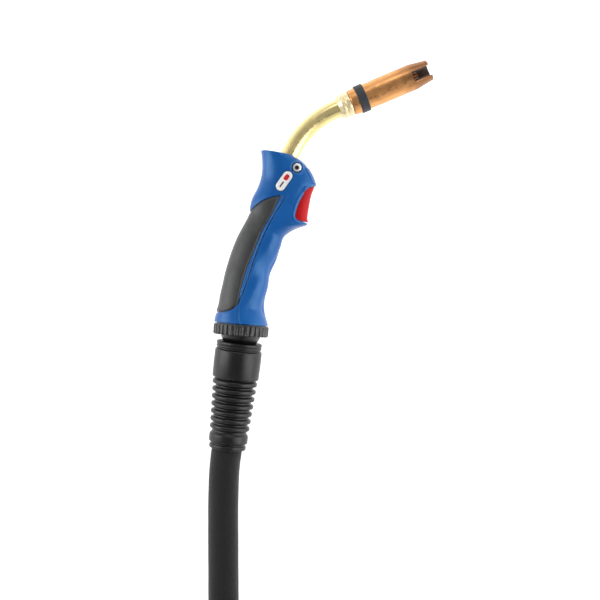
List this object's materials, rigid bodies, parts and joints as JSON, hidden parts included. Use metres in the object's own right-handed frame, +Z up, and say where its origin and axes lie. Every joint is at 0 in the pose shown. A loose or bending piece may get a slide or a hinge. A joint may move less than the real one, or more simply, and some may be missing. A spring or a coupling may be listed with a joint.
{
  "type": "mig welding torch",
  "caption": "Pistol-grip MIG welding torch with bent neck, copper gas nozzle, finger trigger, ball-jointed hose pack, coiled cable and central connector plug.",
  "frame": {"origin": "middle of the torch's footprint (without hose, coil and plug), on the bench", "axes": "+Z up from the bench; +Y the way the neck end points, away from the hose; the torch lies on its left side with its symmetry plane level"},
  "size_m": [0.3732, 0.9253, 0.0619],
  "materials": {
    "blue_shell": "satin moulded polyamide, fine spark-eroded texture",
    "soft_grey": "matt soft-touch elastomer",
    "badge_white": "satin white label plate",
    "zinc_steel": "zinc plated steel",
    "spring_steel": "drawn steel wire",
    "red_trigger": "glossy red plastic",
    "black_plastic": "glass-filled black polyamide",
    "black_rubber": "black moulded rubber",
    "cable_sleeve": "woven fabric-reinforced cable sleeve",
    "neck_brass": "polished pale brass",
    "copper": "machined copper with heat tint",
    "slate_band": "dark blue-grey oxide",
    "diffuser_white": "off-white insulating compound"
  },
  "bodies": {
    "hose_pack": {"ball_stem": "black_plastic", "hose_core": "black_rubber", "bend_relief": "black_rubber", "hose_run": "cable_sleeve", "hose_coil": "cable_sleeve", "coil_tie_1": "black_rubber", "coil_tie_2": "black_rubber", "hose_tail": "cable_sleeve", "plug_relief": "black_rubber", "plug_housing": "black_plastic", "plug_insulator": "black_plastic", "plug_block": "neck_brass", "plug_gas_nipple": "neck_brass", "plug_o_ring": "black_rubber"},
    "ball_ring": {"ball_seat": "black_plastic"},
    "handle": {"handle_shell_right": "blue_shell", "handle_shell_left": "blue_shell", "grip_inlay_right": "soft_grey", "grip_inlay_left": "soft_grey", "name_badge": "badge_white", "head_screw": "zinc_steel", "head_screw_nut": "zinc_steel", "trigger_pin": "zinc_steel", "switch_body": "black_plastic", "switch_lead_1": "black_rubber", "switch_lead_2": "black_rubber", "neck_tube": "neck_brass", "neck_core_tube": "copper", "wire_liner": "spring_steel", "neck_socket": "neck_brass", "neck_sleeve": "black_plastic", "power_cable": "black_rubber", "neck_end_collar": "neck_brass", "nozzle_insulator": "black_plastic", "tip_holder": "neck_brass", "gas_diffuser": "diffuser_white", "contact_tip": "copper"},
    "trigger_body": {"trigger": "red_trigger"},
    "plunger": {"switch_plunger": "red_trigger"},
    "collar": {"collar_nut": "black_plastic"},
    "nozzle": {"gas_nozzle": "copper", "nozzle_band": "slate_band"},
    "connector_nut": {"plug_nut": "black_plastic"},
    "pin_a": {"plug_pin_1": "neck_brass"},
    "pin_b": {"plug_pin_2": "neck_brass"}
  },
  "joints": [
    {"name": "handle_swing", "type": "hinge", "parent": "hose_pack", "child": "ball_ring", "pos_m": [-0.08, -0.0742, 0.0275], "axis": [0, 0, 1], "range_deg": [-15, 12]},
    {"name": "handle_lift", "type": "hinge", "parent": "ball_ring", "child": "handle", "pos_m": [-0.08, -0.0742, 0.0275], "axis": [0.9968, -0.0802, 0], "range_deg": [0, 12]},
    {"name": "trigger_press", "type": "hinge", "parent": "handle", "child": "trigger_body", "pos_m": [-0.0185, 0.0658, 0.0275], "axis": [0, 0, -1], "range_deg": [0, 4], "stiffness_Nm_per_rad": 2, "springref_deg": -2.86},
    {"name": "plunger_travel", "type": "slide", "parent": "handle", "child": "plunger", "axis": [-0.9563, 0.2924, 0], "range_m": [0, 0.0018]},
    {"name": "collar_nut_turn", "type": "hinge", "parent": "handle", "child": "collar", "pos_m": [-0.08, -0.0742, 0.0275], "axis": [0.0802, 0.9968, 0], "continuous": true},
    {"name": "nozzle_pull", "type": "slide", "parent": "handle", "child": "nozzle", "axis": [0.9205, 0.3907, 0], "range_m": [0, 0.085]},
    {"name": "connector_nut_turn", "type": "hinge", "parent": "hose_pack", "child": "connector_nut", "pos_m": [0.23062, -0.38828, 0.0228], "axis": [-0.0523, 0.9986, 0], "continuous": true},
    {"name": "contact_pin_a", "type": "slide", "parent": "hose_pack", "child": "pin_a", "axis": [0.0523, -0.9986, 0], "range_m": [0, 0.004], "stiffness_N_per_m": 900, "springref_m": -0.002},
    {"name": "contact_pin_b", "type": "slide", "parent": "hose_pack", "child": "pin_b", "axis": [0.0523, -0.9986, 0], "range_m": [0, 0.004], "stiffness_N_per_m": 900, "springref_m": -0.002}
  ],
  "couplings": [
    {"joint": "plunger_travel", "follows": "trigger_press", "m_per_rad": 0.0246}
  ]
}
